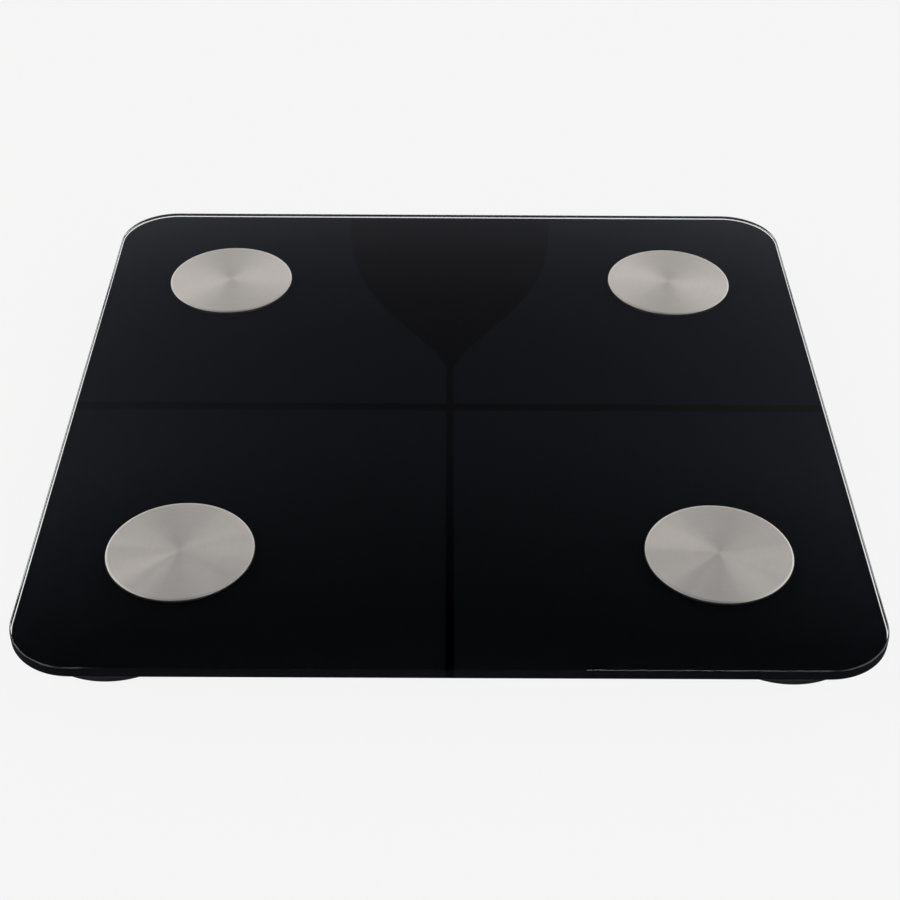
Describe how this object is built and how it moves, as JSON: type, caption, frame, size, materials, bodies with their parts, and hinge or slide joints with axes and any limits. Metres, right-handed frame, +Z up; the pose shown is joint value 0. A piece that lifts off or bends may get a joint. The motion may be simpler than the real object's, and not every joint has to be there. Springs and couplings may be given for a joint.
{
  "type": "bathroom scale",
  "caption": "Square glass body-composition bathroom scale with round steel electrodes, a hidden display, sprung load-cell feet and a sliding battery door.",
  "frame": {"origin": "on the floor under the middle of the platform", "axes": "+Z up through the glass, +Y towards the display edge, +X to the right of someone standing on it and facing the display"},
  "size_m": [0.28, 0.28, 0.0226],
  "materials": {
    "platform_glass": "clear tempered glass with a polished edge, its underside printed in black and blue-black",
    "electrode_steel": "stainless steel, brushed in circles",
    "plated_steel": "zinc or nickel plated",
    "foam": "closed-cell foam",
    "tray_plastic": "fine moulded texture",
    "moulded_plastic": "moulded, satin",
    "foot_rubber": "soft matt rubber",
    "circuit_board": "green solder resist",
    "display_plastic": "black moulding",
    "connector_nylon": "natural nylon",
    "battery_sleeve": "plain printed sleeve on a steel can",
    "lead_insulation": "PVC insulation"
  },
  "bodies": {
    "platform": {"glass_platform": "platform_glass", "electrode_front_left": "electrode_steel", "electrode_nut_front_left": "plated_steel", "electrode_front_right": "electrode_steel", "electrode_nut_front_right": "plated_steel", "electrode_back_left": "electrode_steel", "electrode_nut_back_left": "plated_steel", "electrode_back_right": "electrode_steel", "electrode_nut_back_right": "plated_steel", "bonding_tape": "foam", "base_tray": "tray_plastic", "load_cell_cradle_front_left": "moulded_plastic", "load_cell_front_left": "plated_steel", "load_cell_cradle_front_right": "moulded_plastic", "load_cell_front_right": "plated_steel", "load_cell_cradle_back_left": "moulded_plastic", "load_cell_back_left": "plated_steel", "load_cell_cradle_back_right": "moulded_plastic", "load_cell_back_right": "plated_steel", "main_board": "circuit_board", "display_module": "display_plastic", "display_gasket": "foam", "lead_header_left": "connector_nylon", "lead_header_right": "connector_nylon", "board_screw_1": "plated_steel", "board_screw_2": "plated_steel", "board_screw_3": "plated_steel", "board_screw_4": "plated_steel", "unit_switch": "display_plastic", "battery_cell_1": "battery_sleeve", "battery_plate_1": "plated_steel", "battery_spring_1": "plated_steel", "battery_cell_2": "battery_sleeve", "battery_plate_2": "plated_steel", "battery_spring_2": "plated_steel", "battery_cell_3": "battery_sleeve", "battery_plate_3": "plated_steel", "battery_spring_3": "plated_steel", "load_cell_lead_front_left": "lead_insulation", "load_cell_lead_front_right": "lead_insulation", "load_cell_lead_back_left": "lead_insulation", "load_cell_lead_back_right": "lead_insulation", "electrode_lead_front_left": "lead_insulation", "electrode_lead_front_right": "lead_insulation", "electrode_lead_back_left": "lead_insulation", "electrode_lead_back_right": "lead_insulation", "power_lead_left": "lead_insulation", "power_lead_right": "lead_insulation"},
    "foot_front_left": {"foot_cup_front_left": "moulded_plastic", "foot_pad_front_left": "foot_rubber"},
    "foot_front_right": {"foot_cup_front_right": "moulded_plastic", "foot_pad_front_right": "foot_rubber"},
    "foot_back_left": {"foot_cup_back_left": "moulded_plastic", "foot_pad_back_left": "foot_rubber"},
    "foot_back_right": {"foot_cup_back_right": "moulded_plastic", "foot_pad_back_right": "foot_rubber"},
    "battery_door": {"battery_door": "moulded_plastic"},
    "unit_button": {"unit_button": "moulded_plastic"}
  },
  "joints": [
    {"name": "foot_drop_front_left", "type": "slide", "parent": "platform", "child": "foot_front_left", "axis": [0, 0, -1], "range_m": [0, 0.0006]},
    {"name": "foot_drop_front_right", "type": "slide", "parent": "platform", "child": "foot_front_right", "axis": [0, 0, -1], "range_m": [0, 0.0006]},
    {"name": "foot_drop_back_left", "type": "slide", "parent": "platform", "child": "foot_back_left", "axis": [0, 0, -1], "range_m": [0, 0.0006]},
    {"name": "foot_drop_back_right", "type": "slide", "parent": "platform", "child": "foot_back_right", "axis": [0, 0, -1], "range_m": [0, 0.0006]},
    {"name": "battery_door_slide", "type": "slide", "parent": "platform", "child": "battery_door", "axis": [0, -1, 0], "range_m": [0, 0.04]},
    {"name": "unit_button_press", "type": "slide", "parent": "platform", "child": "unit_button", "axis": [0, 0, 1], "range_m": [0, 0.0005], "stiffness_N_per_m": 800}
  ]
}
